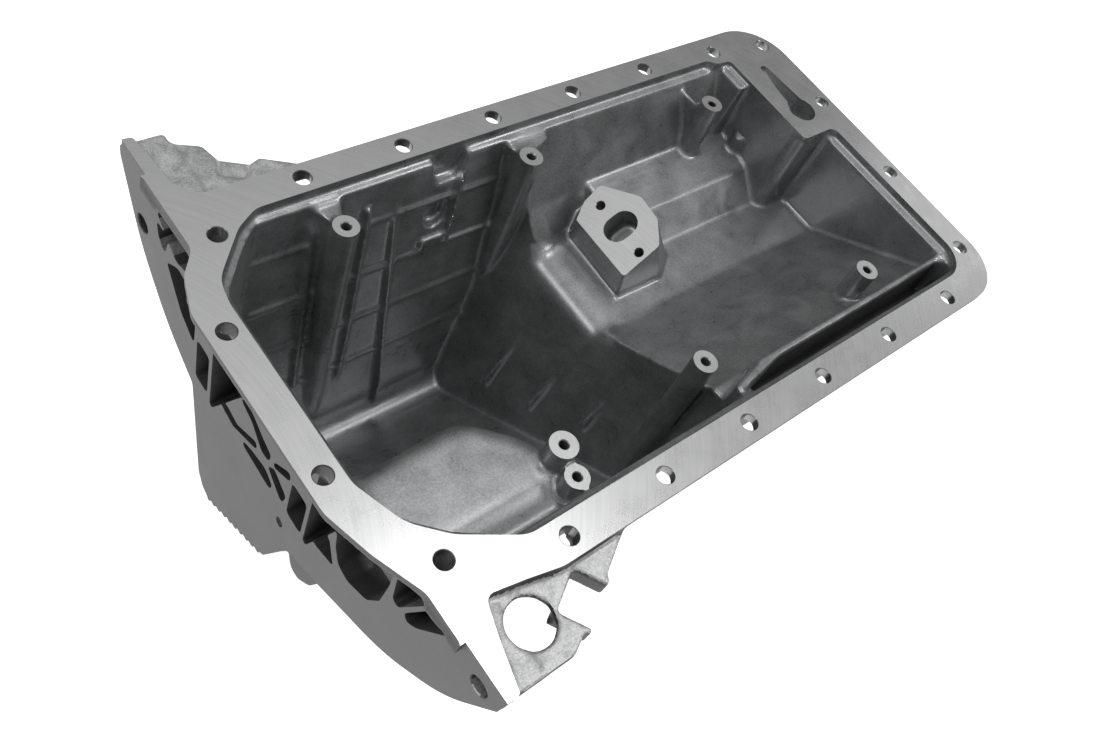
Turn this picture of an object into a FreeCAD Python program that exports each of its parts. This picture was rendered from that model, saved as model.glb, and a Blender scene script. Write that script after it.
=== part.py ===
import FreeCAD, Part
import math
import os
import Sketcher

# Upper oil pan of a longitudinal engine with the bell housing flange cast on.
# Millimetres. X runs along the engine to the front, Y across it, Z up.
# The gasket face is z = 0 and the origin is the middle of the rail bolt pattern.

os.makedirs("parts", exist_ok=True)
doc = FreeCAD.newDocument("OilPan")
sheet = doc.addObject("Spreadsheet::Sheet", "Sizes")
V = FreeCAD.Vector
rows = []


class Size:
    """A number together with the sheet expression that gives it."""

    def __init__(self, value, text):
        self.value = value
        self.text = text

    def __add__(self, other):
        return joined(self, "+", other)

    def __radd__(self, other):
        return joined(other, "+", self)

    def __sub__(self, other):
        return joined(self, "-", other)

    def __rsub__(self, other):
        return joined(other, "-", self)

    def __mul__(self, other):
        return joined(self, "*", other)

    def __rmul__(self, other):
        return joined(other, "*", self)

    def __truediv__(self, other):
        return joined(self, "/", other)

    def __neg__(self):
        return joined(0.0, "-", self)


def value_of(item):
    return item.value if isinstance(item, Size) else float(item)


def text_of(item):
    return item.text if isinstance(item, Size) else f"({float(item)})"


def joined(left, sign, right):
    a = value_of(left)
    b = value_of(right)
    if sign == "+":
        value = a + b
    elif sign == "-":
        value = a - b
    elif sign == "*":
        value = a * b
    else:
        value = a / b
    return Size(value, f"({text_of(left)} {sign} {text_of(right)})")


def size(name, value):
    """Write one named value into the sheet."""
    rows.append(name)
    row = len(rows)
    sheet.set(f"A{row}", name)
    sheet.set(f"B{row}", str(float(value)))
    sheet.setAlias(f"B{row}", name)
    return Size(float(value), f"Sizes.{name}")


def named(item, name):
    return item if isinstance(item, Size) else size(name, item)


def bind(thing, prop, item):
    """Give a property its value and tie it to the sheet."""
    thing.setExpression(prop, text_of(item))


# Planes of the outlines. Local x, local y and the normal of each are
# XY: X, Y, Z.   YZ: Y, Z, X.   XZ: X, Z, -Y.
TURN = {
    "XY": FreeCAD.Rotation(),
    "YZ": FreeCAD.Rotation(V(1, 1, 1), 120),
    "XZ": FreeCAD.Rotation(V(1, 0, 0), 90),
}
OFFSET = {"XY": "z", "YZ": "x", "XZ": "y"}


def rounded(before, corner, after, radius):
    """Centre and ends of the arc that rounds a corner."""
    u = (before - corner).normalize()
    w = (after - corner).normalize()
    half = u.getAngle(w) / 2
    reach = radius / math.tan(half)
    middle = corner + (u + w).normalize() * (radius / math.sin(half))
    return corner + u * reach, corner + w * reach, middle


def outline(name, plane, corners, offset):
    """Closed sketch through corners (a, b) or (a, b, radius)."""
    sketch = doc.addObject("Sketcher::SketchObject", name)
    sketch.Placement = FreeCAD.Placement(V(0, 0, 0), TURN[plane])
    bind(sketch, f"Placement.Base.{OFFSET[plane]}", offset)
    spots = []
    for number, corner in enumerate(corners, 1):
        a = named(corner[0], f"{name}_{number}_a")
        b = named(corner[1], f"{name}_{number}_b")
        r = named(corner[2], f"{name}_{number}_r") if len(corner) > 2 else None
        spots.append((a, b, r))
    points = [V(a.value, b.value, 0) for a, b, r in spots]
    count = len(points)
    ends = []
    arcs = []
    for i in range(count):
        before = points[i - 1]
        after = points[(i + 1) % count]
        radius = spots[i][2]
        if radius is None:
            ends.append((points[i], points[i]))
            arcs.append(None)
            continue
        start, stop, middle = rounded(before, points[i], after, radius.value)
        left = (points[i] - before).cross(after - points[i]).z > 0
        ends.append((start, stop))
        arcs.append((start, stop, middle, left))
    lines = []
    for i in range(count):
        first = ends[i][1]
        last = ends[(i + 1) % count][0]
        lines.append(sketch.addGeometry(Part.LineSegment(first, last), False))
    rules = []
    ties = []
    for i in range(count):
        before = lines[i - 1]
        after = lines[i]
        a, b, radius = spots[i]
        if arcs[i] is None:
            rules.append(Sketcher.Constraint("Coincident", before, 2, after, 1))
            spot, end = after, 1
        else:
            start, stop, middle, left = arcs[i]
            circle = Part.Circle(middle, V(0, 0, 1), radius.value)
            one = math.atan2(start.y - middle.y, start.x - middle.x)
            two = math.atan2(stop.y - middle.y, stop.x - middle.x)
            if left:
                arc = sketch.addGeometry(Part.ArcOfCircle(circle, one, two), False)
                near, far = 1, 2
            else:
                arc = sketch.addGeometry(Part.ArcOfCircle(circle, two, one), False)
                near, far = 2, 1
            spot = sketch.addGeometry(Part.Point(points[i]), True)
            end = 1
            rules.append(Sketcher.Constraint("Tangent", before, 2, arc, near))
            rules.append(Sketcher.Constraint("Tangent", arc, far, after, 1))
            rules.append(Sketcher.Constraint("PointOnObject", spot, 1, before))
            rules.append(Sketcher.Constraint("PointOnObject", spot, 1, after))
            ties.append((len(rules), radius))
            rules.append(Sketcher.Constraint("Radius", arc, radius.value))
        ties.append((len(rules), a))
        rules.append(Sketcher.Constraint("DistanceX", -1, 1, spot, end, a.value))
        ties.append((len(rules), b))
        rules.append(Sketcher.Constraint("DistanceY", -1, 1, spot, end, b.value))
    sketch.addConstraint(rules)
    for index, item in ties:
        bind(sketch, f"Constraints[{index}]", item)
    return sketch


def softened(corners):
    """Give each rounded corner as three plain ones round the same arc."""
    plain = []
    for i, corner in enumerate(corners):
        if len(corner) < 3:
            plain.append(corner)
            continue
        here = V(corner[0], corner[1], 0)
        before = V(corners[i - 1][0], corners[i - 1][1], 0)
        after = corners[(i + 1) % len(corners)]
        start, stop, middle = rounded(before, here, V(after[0], after[1], 0), corner[2])
        first = math.atan2(start.y - middle.y, start.x - middle.x)
        turn = (stop - middle).getAngle(start - middle)
        if (start - middle).cross(stop - middle).z < 0:
            turn = -turn
        reach = corner[2] / math.cos(turn / 6)
        for step in (1, 3, 5):
            way = first + turn * step / 6
            spot = (middle.x + reach * math.cos(way), middle.y + reach * math.sin(way))
            plain.append((round(spot[0], 2), round(spot[1], 2)))
    return plain


def prism(name, plane, corners, start, length):
    """Outline pushed along its normal, or down from its height if it lies in XY."""
    solid = doc.addObject("Part::Extrusion", name)
    solid.Base = outline(f"{name}_outline", plane, corners, named(start, f"{name}_start"))
    solid.DirMode = "Normal"
    solid.Reversed = plane == "XY"
    solid.Solid = True
    bind(solid, "LengthFwd", named(length, f"{name}_length"))
    return solid


def loft(name, plane, sections):
    """Straight sided solid through outlines with equal corner counts."""
    solid = doc.addObject("Part::Loft", name)
    parts = []
    for number, (offset, corners) in enumerate(sections, 1):
        place = named(offset, f"{name}_section_{number}")
        parts.append(outline(f"{name}_section_outline_{number}", plane, corners, place))
    solid.Sections = parts
    solid.Solid = True
    solid.Ruled = True
    return solid


def post(name, x, y, top, depth, radius):
    """Upright cylinder hanging from its top height."""
    solid = doc.addObject("Part::Cylinder", name)
    top = named(top, f"{name}_top")
    depth = named(depth, f"{name}_depth")
    bind(solid, "Radius", named(radius, f"{name}_radius"))
    bind(solid, "Height", depth)
    bind(solid, "Placement.Base.x", named(x, f"{name}_x"))
    bind(solid, "Placement.Base.y", named(y, f"{name}_y"))
    bind(solid, "Placement.Base.z", top - depth)
    return solid


def drilling(name, y, z, depth, radius):
    """Cylinder along X, cut into the bell housing face."""
    solid = doc.addObject("Part::Cylinder", name)
    solid.Placement = FreeCAD.Placement(V(0, 0, 0), FreeCAD.Rotation(V(0, 1, 0), 90))
    bind(solid, "Radius", named(radius, f"{name}_radius"))
    bind(solid, "Height", named(depth, f"{name}_depth"))
    bind(solid, "Placement.Base.x", ring_face - 1)
    bind(solid, "Placement.Base.y", named(y, f"{name}_y"))
    bind(solid, "Placement.Base.z", named(z, f"{name}_z"))
    return solid


def block(name, x, y, z):
    """Box between pairs of coordinates."""
    solid = doc.addObject("Part::Box", name)
    for axis, prop, pair in (("x", "Length", x), ("y", "Width", y), ("z", "Height", z)):
        low = named(pair[0], f"{name}_{axis}_low")
        high = named(pair[1], f"{name}_{axis}_high")
        bind(solid, f"Placement.Base.{axis}", low)
        bind(solid, prop, high - low)
    return solid


def fuse(name, solids):
    joint = doc.addObject("Part::MultiFuse", name)
    joint.Shapes = solids
    return joint


def common(name, solids):
    joint = doc.addObject("Part::MultiCommon", name)
    joint.Shapes = solids
    return joint


def cut(name, base, tool):
    joint = doc.addObject("Part::Cut", name)
    joint.Base = base
    joint.Tool = tool
    return joint


# Main sizes
rail_thick = size("rail_thick", 6.0)
rail_far = size("rail_far", 120.3)
rail_near = size("rail_near", -121.0)
rail_front = size("rail_front", 236.6)
rail_rear = size("rail_rear", -207.0)
opening_far = size("opening_far", 102.5)
opening_near = size("opening_near", -101.5)
opening_front = size("opening_front", 218.5)
opening_rear = size("opening_rear", -189.5)
ring_face = size("ring_face", -188.0)
ring_step = size("ring_step", 2.0)
ring_thick = size("ring_thick", 22.0)
recess_depth = size("recess_depth", 18.5)
wall = size("wall", 5.0)
web_top = size("web_top", -6.0)
web_thick = size("web_thick", 3.5)
floor_height = size("floor_height", -67.0)
pad_wall = size("pad_wall", 188.4)
pad_side = size("pad_side", 22.4)
boss_top = size("boss_top", -5.0)
boss_radius = size("boss_radius", 7.1)
thread_radius = size("thread_radius", 2.55)
rail_hole = size("rail_hole", 4.6)
plate_reach = size("plate_reach", 1.0)
rail_pitch = size("rail_pitch", 60.6)
rail_line = size("rail_line", 111.25)

# Rail plate with the strips of gasket face on both wings
rail_plate = prism("rail_plate", "XY", [
    (rail_front, rail_near, 32),
    (rail_front, rail_far, 32),
    (-171.0, rail_far, 6),
    (-179.8, 130.0, 10),
    (-181.0, 147.7),
    (-182.8, 163.8),
    (ring_face, 163.8),
    (ring_face, 140.0),
    (ring_face - ring_step, 140.0),
    (ring_face - ring_step, 92.0, 8),
    (-200.0, 80.0, 10),
    (rail_rear, 60.0, 12),
    (rail_rear, -50.0, 12),
    (-200.0, -75.0, 12),
    (ring_face - ring_step, -100.0, 8),
    (ring_face - ring_step, -125.0),
    (ring_face, -125.0),
    (ring_face, -154.0),
    (-181.4, -154.0),
    (-175.5, -132.0),
    (-169.5, -113.5, 4),
    (-150.0, -117.0, 20),
    (-132.0, rail_near, 20),
], 0.0 * rail_thick, rail_thick)

# Outer form of the shallow front half
front_side = prism("front_side", "YZ", [
    (104.9, -4.0),
    (80.2, -47.0, 12),
    (60.3, floor_height - wall, 8),
    (-10.8, floor_height - wall, 12),
    (-78.5, -31.3),
    (-82.5, -45.0),
    (-103.2, -45.0),
    (-104.6, -4.0),
], 8.0, 213.0)
front_plan = prism("front_plan", "XY", [
    (6.0, -108.0),
    (219.7, -108.0, 22),
    (219.7, pad_side + wall, 5),
    (pad_wall + wall, pad_side + wall, 5),
    (pad_wall + wall, 108.0, 6),
    (6.0, 108.0),
], -3.0, 90.0)
front_outer = common("front_outer", [front_side, front_plan])

# Outer form of the deep rear half
deep_outer_side = prism("deep_outer_side", "YZ", [
    (105.2, -4.0),
    (75.0, -215.3, 14),
    (-86.0, -126.8, 14),
    (-104.0, -4.0),
], ring_face, 240.0)
deep_outer_length = prism("deep_outer_length", "XZ", [
    (ring_face, -3.0),
    (ring_face, -240.0),
    (-25.7, -240.0),
    (21.1, -60.0),
    (21.1, -3.0),
], 130.0, 260.0)
deep_outer = common("deep_outer", [deep_outer_side, deep_outer_length])

# Hollow outside the hump that clears the starter side
hump_low = size("hump_low", -240.0)
hump_hollow = loft("hump_hollow", "XY", [
    (-46.0, [(-230, -34.5), (-117, -30.5), (-103, -36), (-84, -56), (-84.3, -160), (-230, -160)]),
    (-130.0, [(-230, -13.5), (-106, -9.5), (-92, -16), (-65, -42), (-64.3, -160), (-230, -160)]),
    (-174.0, [(-230, 4.5), (-100, 5.5), (-85, -2), (-55, -32), (-54.3, -160), (-230, -160)]),
    (hump_low, [(-230, 32), (-91, 32), (-76, 25), (-42, -19), (-41.3, -160), (-230, -160)]),
])
deep_shell = cut("deep_shell", deep_outer, hump_hollow)
hump_skin = prism("hump_skin", "YZ", [
    (-68.0, -42.0),
    (-68.0, -47.5),
    (-96.0, -57.5),
    (-97.0, -50.0),
    (-94.0, -42.0),
], ring_face, 106.0)

# Bell housing ring
ring_body = prism("ring_body", "YZ", [
    (-153.2, -5.0),
    (-153.2, -14.0),
    (-131.0, -57.0, 120),
    (-94.0, -94.0, 120),
    (-42.0, -121.0, 6),
    (-13.6, -133.0),
    (5.2, -178.0, 4),
    (66.0, -211.5, 3),
    (75.0, -214.0, 10),
    (73.5, -119.5, 4),
    (92.0, -112.0, 6),
    (118.0, -93.0, 120),
    (146.0, -58.0, 120),
    (166.0, -12.0),
    (166.0, -5.0),
], ring_face, ring_thick)
rear_gusset = prism("rear_gusset", "XZ", [
    (-199.0, -3.0),
    (-199.0, -6.5),
    (ring_face, -19.0),
    (-180.0, -24.0),
    (-176.0, -3.0),
], 66.0, 118.0)
lobe = prism("lobe", "YZ", [
    (-46.0, -108.0),
    (-42.0, -121.0),
    (-34.0, -143.5, 8),
    (-19.4, -160.0, 7),
    (-13.5, -147.0),
    (-6.0, -120.0),
], ring_face + ring_step, ring_thick - ring_step)
hump_back = block("hump_back", (-170.0, -157.0), (-88.0, -40.0), (-88.0, -44.0))

# Webs of the two wings
near_web = prism("near_web", "XY", [
    (ring_face, -108.0),
    (ring_face, -153.5),
    (-149.0, -153.8, 10),
    (-117.0, -135.6),
    (-93.0, -121.0, 8),
    (-88.0, -108.0),
], web_top, web_thick)
near_notch_rim = prism("near_notch_rim", "XY", [
    (-123.0, -121.0),
    (-113.5, -135.6),
    (-137.8, -150.5),
    (-147.5, -134.5),
], web_top, 11.0)
far_web = prism("far_web", "XY", [
    (ring_face, 116.0),
    (-108.0, 116.0),
    (-111.5, 123.8),
    (-131.0, 136.2, 2),
    (-138.0, 133.5),
    (-142.5, 125.0),
    (-154.0, 131.5),
    (-149.8, 142.5),
    (-152.5, 153.0, 3),
    (-173.4, 163.4, 4),
    (-180.0, 165.5),
    (ring_face, 165.5),
], web_top, web_thick)
far_shelf = prism("far_shelf", "XY", [
    (-160.0, 130.0),
    (-152.0, 143.5),
    (-148.6, 144.1),
    (-136.7, 136.9),
    (-133.5, 134.0),
    (-141.0, 119.0),
], -9.0, 4.0)

# Block under the front far corner pad, round the keyhole
corner_block = prism("corner_block", "XY", [
    (pad_wall + 2, pad_side + 2),
    (219.7, pad_side + 2, 5),
    (219.7, 90.0, 8),
    (198.0, 90.0, 5),
    (pad_wall + 2, 80.0),
], -4.0, 22.0)

# Bump outside the far wall behind the oval recess
recess_bump = prism("recess_bump", "XZ", [
    (-54.0, -4.0),
    (-50.0, -60.0),
    (-32.0, -60.0),
    (-28.0, -4.0),
], 106.0, 14.0)

# Cooling fins under the deep floor
fin_pitch = size("fin_pitch", 6.0)
fin_width = size("fin_width", 2.6)
fin_depth = size("fin_depth", 4.5)
fin_slope = size("fin_slope", 0.55)
fin_first = size("fin_first", 9.0)
fin_level = size("fin_level", -179.0)
comb = []
for number in range(10):
    near_side = fin_first + fin_pitch * number
    far_side = near_side + fin_width
    drop_near = fin_level - (near_side - fin_first) * fin_slope
    drop_far = fin_level - (far_side - fin_first) * fin_slope
    comb.append((near_side, drop_near + 2))
    comb.append((near_side, drop_near - fin_depth))
    comb.append((far_side, drop_far - fin_depth))
    comb.append((far_side, drop_far + 2))
comb.append((66.0, -203.0))
comb.append((12.0, -173.0))
fins = prism("fins", "YZ", comb, ring_face, 120.0)

# Drain boss on the lowest floor
drain_x = size("drain_x", -138.0)
drain_y = size("drain_y", 44.0)
drain_face = size("drain_face", -217.0)
drain_boss = post("drain_boss", drain_x, drain_y, -185.0, -185.0 - drain_face, 17.0)

outer = fuse("outer", [
    rail_plate, front_outer, deep_shell, ring_body, rear_gusset, hump_back, near_web,
    near_notch_rim, far_web, corner_block, recess_bump, fins, drain_boss,
    lobe, far_shelf, hump_skin,
])

# Opening in the rail down to the ledge
rail_opening = prism("rail_opening", "XY", [
    (opening_front, opening_near, 20),
    (opening_front, pad_side, 5),
    (pad_wall, pad_side, 3),
    (pad_wall, 101.0, 3),
    (184.5, 97.5, 2),
    (177.0, 97.5, 3),
    (171.0, opening_far, 4),
    (-152.0, opening_far, 12),
    (-165.0, 95.0, 18),
    (-187.0, 72.0, 18),
    (opening_rear, 58.0, 14),
    (opening_rear, -44.0, 14),
    (-180.0, -70.0, 25),
    (-165.0, -85.0, 25),
    (-137.0, opening_near, 16),
], plate_reach, rail_thick + plate_reach)

# Inner space of the shallow front half
trough_side = prism("trough_side", "YZ", [
    (99.6, -3.0),
    (75.0, -46.0, 14),
    (57.6, floor_height, 7),
    (-9.0, floor_height, 14),
    (-83.0, -22.5, 2),
    (-83.6, -3.0),
], 4.0, 216.0)
trough_plan = prism("trough_plan", "XY", [
    (2.0, -97.0),
    (214.6, -97.0, 15),
    (214.6, pad_side, 5),
    (pad_wall, pad_side, 9),
    (pad_wall, 101.0, 9),
    (2.0, 101.0),
], -2.0, 90.0)
trough = common("trough", [trough_side, trough_plan])
channel = prism("channel", "XY", [
    (16.0, -94.6, 1.0),
    (55.0, -88.0, 30),
    (213.0, -87.2, 5),
    (213.0, -97.5, 5),
    (16.0, -97.5, 1.0),
], -2.0, 38.0)
rib_taper = prism("rib_taper", "XY", [
    (4.0, -82.0),
    (44.0, -82.0),
    (40.0, -84.4),
    (13.0, -91.0),
    (4.0, -91.0),
], -2.0, 21.0)
rib_gap = block("rib_gap", (4.0, 213.0), (-97.4, -80.0), (-8.0, -2.0))

# Inner space of the deep rear half
deep_side = prism("deep_side", "YZ", [
    (98.5, -3.0),
    (69.7, -206.0, 13),
    (-80.2, -123.6, 13),
    (-97.6, -3.0),
], -200.0, 240.0)
deep_length = prism("deep_length", "XZ", [
    (-187.6, -2.0),
    (-165.2, -62.0, 14),
    (-163.6, -235.0),
    (-29.7, -235.0),
    (14.4, -66.0, 5),
    (16.5, -2.0),
], 130.0, 260.0)
deep_plan = prism("deep_plan", "XY", [
    (24.0, 101.0),
    (-150.0, 101.0, 12),
    (-162.5, 91.0, 20),
    (-183.0, 69.5, 20),
    (-189.0, 56.0, 12),
    (-189.0, -42.0, 12),
    (-177.0, -66.5, 22),
    (-162.0, -81.5, 22),
    (-135.0, -99.5, 14),
    (24.0, -99.5),
], -1.0, 240.0)
deep_space = common("deep_space", [deep_side, deep_length, deep_plan])
crest_round = prism("crest_round", "XZ", [
    (0.0, -62.0),
    (0.0, -89.0),
    (8.2, -89.0),
    (11.5, -76.5, 12),
    (16.5, -69.0, 12),
    (30.0, -66.95),
    (30.0, -62.0),
], 57.0, 66.0)

# Gap in the ledge and the oval recess below it
ledge_gap = prism("ledge_gap", "XZ", [
    (-48.7, -2.0),
    (-45.0, -22.0, 5),
    (-28.0, -22.0, 5),
    (-23.7, -2.0),
], opening_far, 10.0)
oval_recess = prism("oval_recess", "XZ", [
    (-48.5, -28.0, 7.2),
    (-48.5, -54.0, 7.2),
    (-33.5, -54.0, 7.2),
    (-33.5, -28.0, 7.2),
], 98.5, 20.0)

# Hump seen from inside
hump_crown = loft("hump_crown", "XY", [
    (-40.0, [(-230, -36), (-111, -30.5, 21), (-84, -58, 26), (-85, -160), (-230, -160)]),
    (-41.8, [(-230, -32.2), (-109.3, -26.7, 24), (-80.4, -56.2, 29), (-81.4, -160), (-230, -160)]),
    (-47.0, [(-230, -28.6), (-107.4, -23.1, 25), (-76.7, -54.1, 30), (-77.6, -160), (-230, -160)]),
])
hump_side = loft("hump_side", "XY", [
    (-46.9, softened([(-230, -28.6), (-107.4, -23.1, 25), (-76.7, -54.1, 30), (-77.6, -160), (-230, -160)])),
    (-128.0, softened([(-230, -8.5), (-97, -3.5, 25), (-59, -41, 30), (-59, -160), (-230, -160)])),
    (-172.0, softened([(-230, 10.5), (-90, 11, 25), (-49, -31, 30), (-49, -160), (-230, -160)])),
    (-238.0, softened([(-230, 38), (-81, 38, 25), (-36, -18, 30), (-36, -160), (-230, -160)])),
])
hump_slope = prism("hump_slope", "YZ", [
    (-73.5, -40.0),
    (-104.0, -51.0),
    (-104.0, -30.0),
    (-73.5, -30.0),
], -240.0, 180.0)
hump = cut("hump", fuse("hump_whole", [hump_crown, hump_side]), hump_slope)

# Gallery ridge along the far side of the front floor
ridge = prism("ridge", "YZ", [
    (27.5, floor_height),
    (47.0, -49.5, 7),
    (60.0, -46.8, 12),
    (77.0, -43.5),
    (77.0, -50.0),
    (62.0, -70.0),
    (27.5, -70.0),
], 62.0, 129.0)

# Block with the inclined face for the pick-up pipe
pad_tilt = size("pad_tilt", 34.2)
pad_x = size("pad_x", 39.0)
pad_z = size("pad_z", -46.0)


def tilted(sketch):
    turn = FreeCAD.Rotation(V(0, -1, 0), pad_tilt.value)
    sketch.Placement = FreeCAD.Placement(V(0, 0, 0), turn)
    bind(sketch, "Placement.Base.x", pad_x)
    bind(sketch, "Placement.Base.z", pad_z)
    bind(sketch, "Placement.Rotation.Angle", pad_tilt)
    return sketch


pad_face = tilted(outline("pad_face", "XY", [
    (0.0, 9.5), (27.5, 11.0), (37.0, 25.0), (38.2, 42.5), (24.4, 64.5), (11.0, 62.5), (0.0, 56.3),
], 0.0 * pad_x))
pad_foot = outline("pad_foot", "XY", [
    (42.0, 8.0), (80.0, 7.3), (97.0, 19.0), (101.0, 42.0), (68.0, 68.0), (54.0, 66.0), (43.0, 59.0),
], size("pad_foot_height", -70.0))
pad_block = doc.addObject("Part::Loft", "pad_block")
pad_block.Sections = [pad_foot, pad_face]
pad_block.Solid = True
pad_block.Ruled = True

# Pillar and rounded rib on the pad wall
pillar = prism("pillar", "XZ", [
    (181.5, -4.0),
    (191.0, -4.0),
    (191.0, -60.0),
    (176.0, -60.0),
], 103.0, 27.0)
wall_rib = post("wall_rib", pad_wall, 62.0, -35.0, 30.0, 4.5)

# Ribs of the deep far wall
far_slope = size("far_slope", 0.1419)
far_foot = size("far_foot", 98.93)


def far_wall(depth):
    return far_foot - depth * far_slope


far_ribs = []
for number, depth in enumerate((32.5, 68.7, 104.3, 140.6), 1):
    level = size(f"far_rib_{number}_depth", depth)
    base = far_wall(level)
    far_ribs.append(prism(f"far_rib_{number}", "YZ", [
        (base + 2, 1.8 - level),
        (base - 1.6, 0.9 - level),
        (base - 1.6, -1.1 - level),
        (base + 2, -2.2 - level),
    ], -158.0, 157.0))
gusset = prism("gusset", "YZ", [
    (98.0, -16.0),
    (92.5, -34.0),
    (77.0, -120.0),
    (66.5, -168.0),
    (66.0, -186.0),
    (72.0, -207.0),
    (80.0, -150.0),
], -71.5, 2.6)
wall_layer = prism("wall_layer", "YZ", [
    (100.0, -12.0),
    (97.0, -14.0),
    (92.2, -22.0),
    (74.5, -146.0),
    (76.0, -158.0),
    (83.0, -150.0),
], -136.0, 112.0)
wall_blades = common("wall_blades", [wall_layer, fuse("blade_lines", [
    prism("blade_rear", "XZ", [
        (-124.0, -10.0), (-121.4, -10.0), (-129.6, -142.0), (-132.2, -142.0),
    ], 104.0, 36.0),
    prism("blade_front", "XZ", [
        (-90.6, -20.0), (-88.0, -20.0), (-94.4, -110.0), (-99.4, -156.0), (-101.4, -156.0), (-97.0, -110.0),
    ], 104.0, 36.0),
    prism("blade_short", "XZ", [
        (-28.6, -20.0), (-26.8, -20.0), (-31.8, -66.0), (-33.6, -66.0),
    ], 104.0, 36.0),
])])
wall_lug = block("wall_lug", (-50.0, -35.5), (87.6, 97.0), (-69.0, -60.0))

# Ribs of the sloping front wall of the deep half
slope_ribs = []
for number, (side, top, low) in enumerate(((33.0, 91, 171), (-1.6, 87, 153), (-37.5, 80, 128)), 1):
    head = 14.4 - 0.26 * (top - 67)
    tail = 14.4 - 0.26 * (low - 67)
    slope_ribs.append(prism(f"slope_rib_{number}", "XZ", [
        (head + 3, -top + 4.0),
        (head - 3.4, -top - 14.0),
        (tail - 2.6, -low + 16.0),
        (tail + 3, -low - 6.0),
    ], side + 1.4, 2.8))

# Screw bosses inside the pan
boss_spots = [
    ("boss_far_rear", -115.0, 79.3, boss_top, 204.0, boss_radius, 1.0),
    ("boss_far_middle", 7.4, 81.8, boss_top, 204.0, boss_radius, 1.0),
    ("boss_far_front", 152.0, 74.0, boss_top, 60.0, boss_radius, 1.0),
    ("boss_near_front", 152.0, -71.0, boss_top, 38.0, boss_radius, 1.0),
    ("boss_near_middle", 8.2, -71.5, boss_top, 128.0, boss_radius, 1.0),
    ("boss_hump_large", -79.0, -67.5, -25.0, 100.0, 8.0, 1.0),
    ("boss_hump_small", -81.0, -83.5, -30.0, 100.0, 7.0, 1.0),
]
bosses = []
boss_holes = []
for name, x, y, top, depth, radius, reach in boss_spots:
    at_x = size(f"{name}_x", x)
    at_y = size(f"{name}_y", y)
    at_top = named(top, f"{name}_top")
    bosses.append(post(f"{name}_post", at_x, at_y, at_top, depth, radius))
    boss_holes.append(post(f"{name}_hole", at_x, at_y, at_top + reach, 17.0, thread_radius))
# Webs that tie the bosses to the walls
web_level = size("web_level", -8.0)
boss_webs = [
    prism("web_far_rear", "XY", [
        (-117.5, 80.0), (-112.5, 80.0), (-109.0, 92.0, 6), (-104.0, 102.0), (-125.0, 102.0), (-120.5, 92.0, 6),
    ], web_level, 90.0),
    prism("web_far_middle", "XY", [
        (5.0, 82.0), (11.0, 80.0), (18.0, 88.0, 5), (30.0, 92.0), (30.0, 102.0), (0.0, 102.0), (3.5, 92.0, 5),
    ], web_level, 60.0),
    prism("web_far_front", "XY", [
        (147.2, 74.0), (149.8, 74.0), (148.8, 100.0), (146.2, 100.0),
    ], web_level - 3, 57.0),
]

kept = fuse("kept", [
    hump, ridge, pad_block, pillar, wall_rib, gusset, wall_blades, wall_lug,
] + far_ribs + slope_ribs + bosses + boss_webs)
space_main = fuse("space_main", [
    rail_opening, trough, channel, rib_gap, rib_taper, deep_space, crest_round, ledge_gap, oval_recess,
])
space = cut("space", space_main, kept)

# Recesses in the bell housing face, no deeper than the rear wall allows
recess_limit = prism("recess_limit", "XZ", [
    (ring_face - 4, -14.0),
    (ring_face - 4, -130.0),
    (ring_face + recess_depth, -130.0),
    (ring_face + recess_depth, -70.0),
    (ring_face, -20.0),
], 200.0, 400.0)
start_out = ring_face - 3
wide = recess_depth + 3
triangles = fuse("triangles", [
    prism("recess_far_triangle", "YZ", [
        (71.4, -8.0), (71.4, -113.6), (43.0, -60.0), (17.0, -8.0),
    ], start_out, wide),
    prism("recess_near_triangle", "YZ", [
        (-22.3, -8.0), (-57.0, -8.0), (-41.0, -57.0), (-22.3, -111.5),
    ], start_out, wide),
    prism("window_far", "YZ", [
        (86.8, -67.6), (86.8, -101.4), (74.4, -102.0), (74.4, -68.6),
    ], start_out, wide),
    prism("window_near", "YZ", [
        (-6.0, -67.2), (-6.0, -99.4), (-19.6, -100.4), (-19.6, -67.8),
    ], start_out, wide),
])
limited = common("limited", [triangles, recess_limit])
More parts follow.
